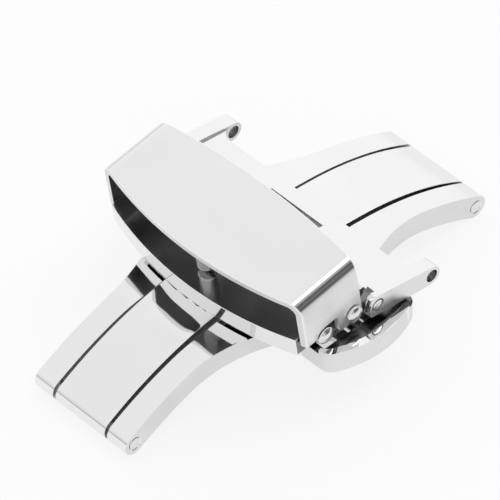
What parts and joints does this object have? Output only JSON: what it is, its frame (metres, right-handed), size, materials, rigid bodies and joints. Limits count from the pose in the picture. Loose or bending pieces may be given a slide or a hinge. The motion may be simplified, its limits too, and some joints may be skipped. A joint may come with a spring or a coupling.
{
  "type": "folding strap clasp",
  "caption": "Curved folding watch clasp with two hinged wings, a flip-up strap cover with a peg, side push buttons and lugs for a spring bar.",
  "frame": {"origin": "middle of the clasp, at the level of the two fork ends that it rests on", "axes": "+X along the strap towards the lugs for the spring bar, +Y across the strap towards the left button, +Z away from the wrist"},
  "size_m": [0.0382, 0.026, 0.0125],
  "materials": {
    "frame_steel": "mirror-polished stainless steel",
    "tongue_steel": "mirror-polished stainless steel with fine hairlines",
    "plate_steel": "mirror-polished stainless steel",
    "cover_steel": "mirror-polished stainless steel",
    "button_steel": "polished stainless steel",
    "pin_steel": "polished pin stock",
    "latch_steel": "plain stamped steel",
    "spring_steel": "drawn spring wire"
  },
  "bodies": {
    "base": {"base_frame": "frame_steel", "near_hinge_pin": "pin_steel", "far_hinge_pin": "pin_steel", "latch_cage": "latch_steel", "cage_screws": "latch_steel", "left_button_spring": "spring_steel", "right_button_spring": "spring_steel"},
    "near_wing": {"near_tongue": "tongue_steel", "strap_plate": "plate_steel", "cover_hinge_pin": "pin_steel", "snap_studs": "pin_steel", "near_catch_posts": "latch_steel"},
    "cover": {"cover_shell": "cover_steel", "strap_peg": "pin_steel"},
    "far_wing": {"far_tongue": "tongue_steel", "lug_plate": "plate_steel", "lug_cross_pin": "pin_steel", "far_catch_posts": "latch_steel"},
    "left_button": {"left_button": "button_steel"},
    "right_button": {"right_button": "button_steel"}
  },
  "joints": [
    {"name": "near_wing_hinge", "type": "hinge", "parent": "base", "child": "near_wing", "pos_m": [-0.0181, 0, 0.001], "axis": [0, -1, 0], "range_deg": [0, 150]},
    {"name": "far_wing_hinge", "type": "hinge", "parent": "base", "child": "far_wing", "pos_m": [0.0181, 0, 0.001], "axis": [0, 1, 0], "range_deg": [0, 150]},
    {"name": "cover_hinge", "type": "hinge", "parent": "near_wing", "child": "cover", "pos_m": [-0.00096, 0, 0.0071], "axis": [0, 1, 0], "range_deg": [0, 45]},
    {"name": "left_button_push", "type": "slide", "parent": "base", "child": "left_button", "axis": [0, -1, 0], "range_m": [0, 0.0007], "stiffness_N_per_m": 300, "springref_m": -0.0005, "deforming": ["left_button_spring"]},
    {"name": "right_button_push", "type": "slide", "parent": "base", "child": "right_button", "axis": [0, 1, 0], "range_m": [0, 0.0007], "stiffness_N_per_m": 300, "springref_m": -0.0005, "deforming": ["right_button_spring"]}
  ]
}
